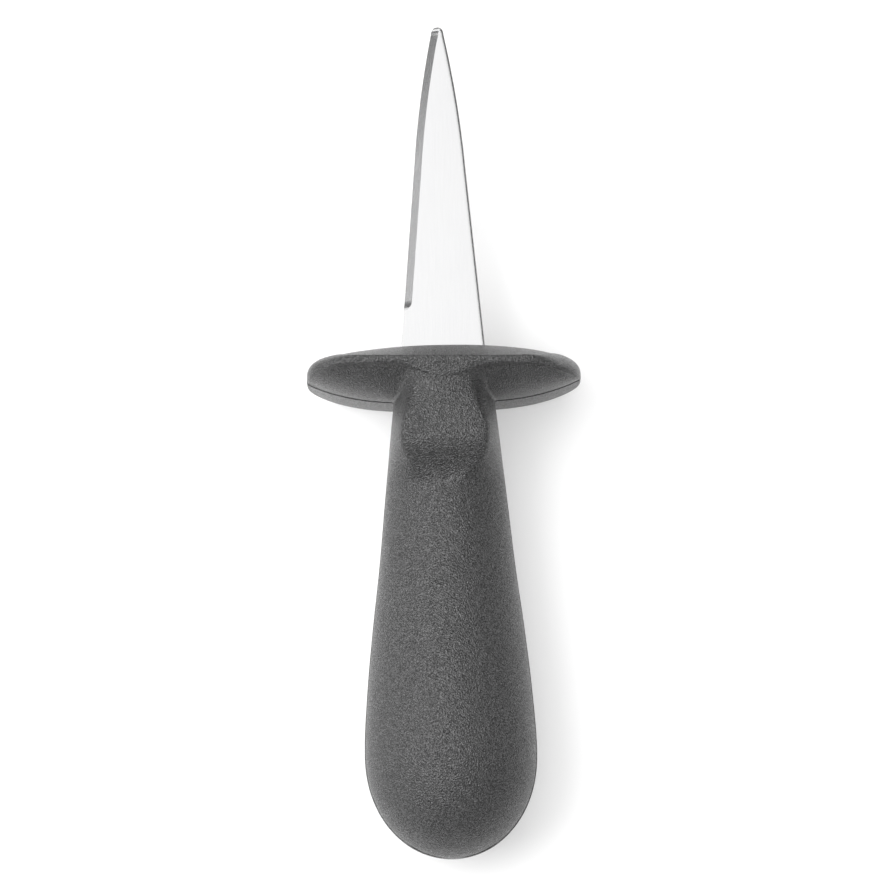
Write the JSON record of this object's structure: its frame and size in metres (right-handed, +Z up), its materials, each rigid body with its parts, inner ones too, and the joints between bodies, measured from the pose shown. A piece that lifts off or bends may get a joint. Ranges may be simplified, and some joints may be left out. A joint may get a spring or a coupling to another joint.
{
  "type": "oyster knife",
  "caption": "Oyster knife: short flat steel blade with a rounded tip in a bulbous black handle with a wide oval guard and a raised thumb pad.",
  "frame": {"origin": "on the surface that the knife lies on, under the middle of its length and of its guard", "axes": "+X across the guard, +Y towards the blade's tip, +Z up, square to the blade's flat and towards the thumb pad"},
  "size_m": [0.0506, 0.155, 0.0317],
  "materials": {
    "blade_steel": "satin stainless steel, fine lengthwise brushing",
    "grip_plastic": "black polypropylene with a fine leather grain"
  },
  "bodies": {
    "root": {"blade": "blade_steel", "thumb_side_shell": "grip_plastic", "far_side_shell": "grip_plastic"}
  },
  "joints": []
}
